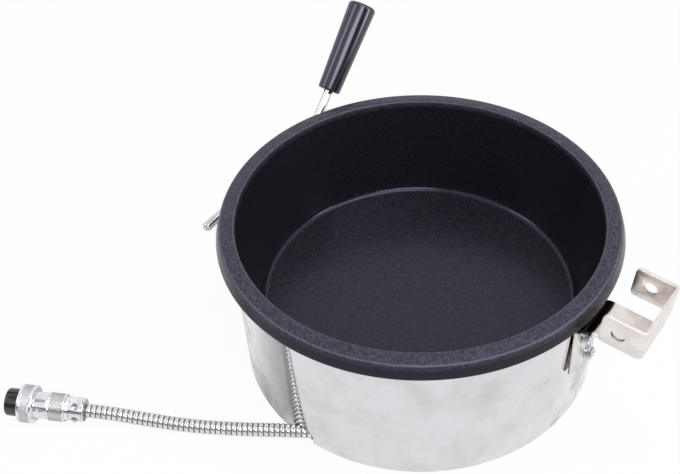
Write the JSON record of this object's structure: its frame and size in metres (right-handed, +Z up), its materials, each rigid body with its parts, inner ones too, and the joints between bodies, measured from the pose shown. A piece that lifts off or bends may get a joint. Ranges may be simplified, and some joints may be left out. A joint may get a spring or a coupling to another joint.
{
  "type": "popcorn machine kettle",
  "caption": "Electric hanging kettle of a popcorn machine: coated pot in a steel shell, with a hinge bracket, a bent handle rod with a grip, and a ribbed metal hose that ends in a round plug",
  "frame": {"origin": "centre of the base cover's underside, on the surface that the kettle stands on", "axes": "+Z up along the pot's axis, +X from the pot's axis to the hinge bracket, +Y along the hinge axis towards the side where the handle's grip rises"},
  "size_m": [0.3269, 0.3252, 0.1487],
  "materials": {
    "coated_aluminium": "satin grey-black non-stick coating on cast aluminium",
    "polished_stainless": "polished stainless sheet",
    "satin_stainless": "brushed stainless sheet",
    "zinc_steel": "zinc-plated steel",
    "nickel_steel": "nickel-plated pressed steel",
    "polished_steel": "polished round steel bar",
    "element_steel": "heat-darkened steel sheath",
    "ceramic": "white ceramic bead",
    "bakelite": "glossy black phenolic",
    "thermostat_body": "dark phenolic body",
    "brass": "machined brass",
    "copper_plate": "tinned copper",
    "wire_brown": "brown silicone insulation",
    "wire_blue": "blue silicone insulation",
    "wire_green": "green and yellow silicone insulation",
    "wire_white": "white glass-fibre sleeving",
    "hose_steel": "bright corrugated steel hose",
    "plug_chrome": "satin chrome on turned brass",
    "plug_black": "black moulded insulator"
  },
  "bodies": {
    "kettle": {"inner_pot": "coated_aluminium", "outer_shell": "polished_stainless", "base_cover": "satin_stainless", "base_posts": "zinc_steel", "base_cover_screws": "zinc_steel", "heating_element": "element_steel", "element_terminals": "ceramic", "element_clamp_plate": "satin_stainless", "clamp_plate_screws": "zinc_steel", "thermostat": "thermostat_body", "thermostat_strap": "zinc_steel", "thermostat_screws": "zinc_steel", "thermal_fuse": "copper_plate", "fuse_clip": "zinc_steel", "fuse_clip_rivets": "copper_plate", "line_wire": "wire_brown", "neutral_wire": "wire_blue", "earth_wire": "wire_green", "thermostat_lead": "wire_white", "fuse_lead": "wire_white", "wire_sleeves": "copper_plate", "wire_receptacles": "brass", "earth_lug": "copper_plate", "earth_screw": "brass", "hose_ferrule": "plug_chrome", "inlet_bracket": "satin_stainless", "ferrule_locknut": "brass", "flexible_conduit": "hose_steel", "hinge_bracket": "nickel_steel", "hinge_studs": "zinc_steel", "hinge_washers": "zinc_steel", "hinge_nuts": "zinc_steel", "handle_bracket": "nickel_steel", "handle_studs": "zinc_steel", "handle_washers": "zinc_steel", "handle_nuts": "zinc_steel", "handle_rod": "polished_steel", "handle_grip": "bakelite", "grip_insert": "brass", "plug_tail": "plug_chrome", "cable_saddle": "plug_chrome", "saddle_screws": "zinc_steel", "plug_barrel": "plug_chrome", "plug_insulator": "plug_black", "plug_contacts": "brass", "insulator_set_screw": "zinc_steel"},
    "ring_carriage": {"ring_retainer": "zinc_steel"},
    "ring": {"coupling_ring": "plug_chrome"}
  },
  "joints": [
    {"name": "ring_slide", "type": "slide", "parent": "kettle", "child": "ring_carriage", "axis": [-0.8718, -0.483, 0.0817], "range_m": [-0.0077, 0.0042]},
    {"name": "ring_turn", "type": "hinge", "parent": "ring_carriage", "child": "ring", "pos_m": [-0.15926, -0.18871, 0.01196], "axis": [-0.8718, -0.483, 0.0817], "continuous": true}
  ]
}
